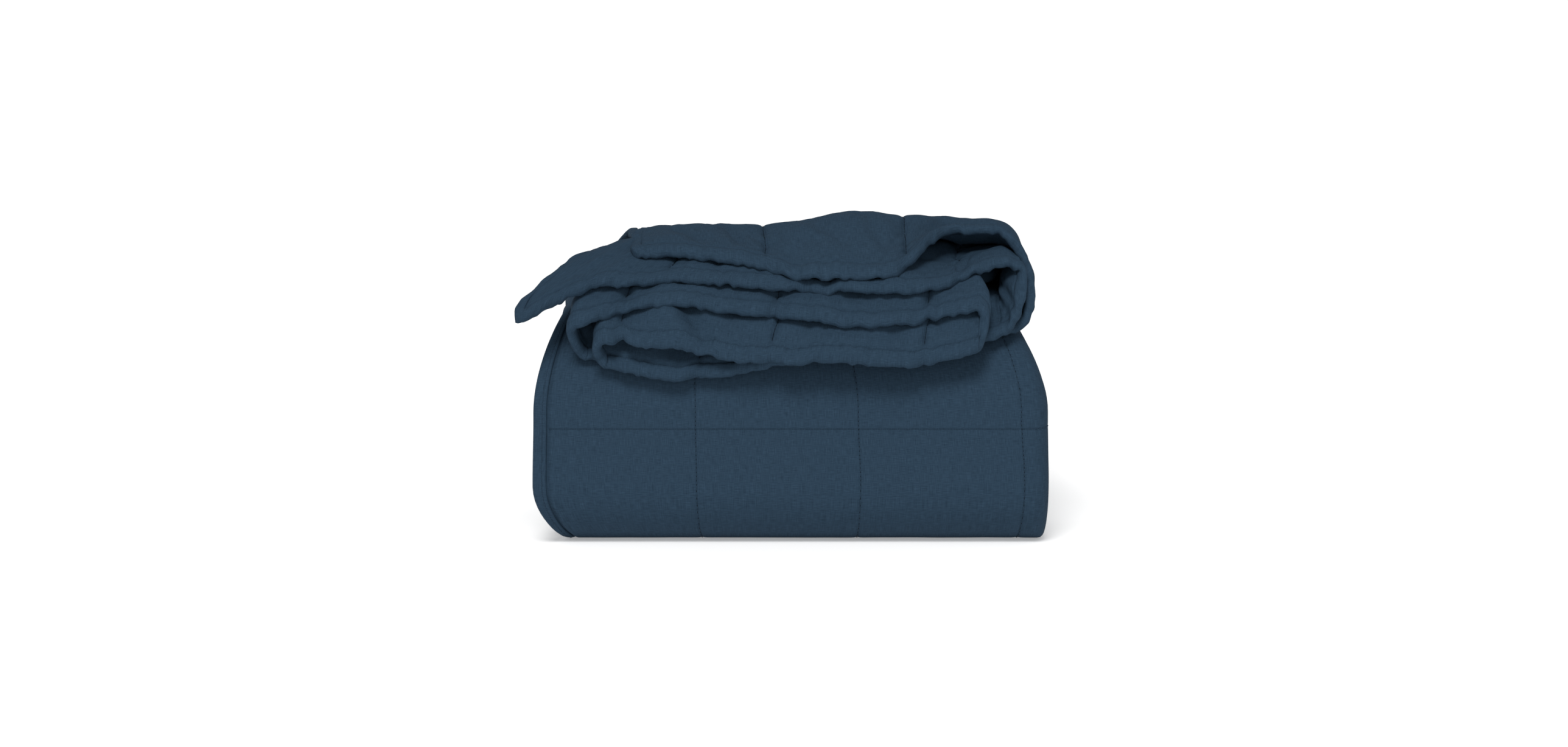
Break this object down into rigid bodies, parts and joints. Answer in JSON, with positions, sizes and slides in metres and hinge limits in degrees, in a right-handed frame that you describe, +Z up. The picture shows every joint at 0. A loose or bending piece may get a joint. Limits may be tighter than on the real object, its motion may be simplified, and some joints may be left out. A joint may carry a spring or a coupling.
{
  "type": "folded linen quilt",
  "caption": "Box-stitched linen quilt with a bound edge, folded lengthwise and rolled into a flat pile whose loose end droops over the front",
  "frame": {"origin": "middle of the folded quilt's bounding box, on the surface it lies on", "axes": "+Z up; -Y is the front, where the loose end droops; +X is to the right seen from the front"},
  "size_m": [0.383, 0.378, 0.2365],
  "materials": {
    "linen": "matt slubbed linen weave, stitched in boxes",
    "binding_linen": "matt slubbed linen weave, folded over the edge and edge-stitched"
  },
  "bodies": {
    "root": {"quilt": "linen", "binding": "binding_linen"}
  },
  "joints": []
}
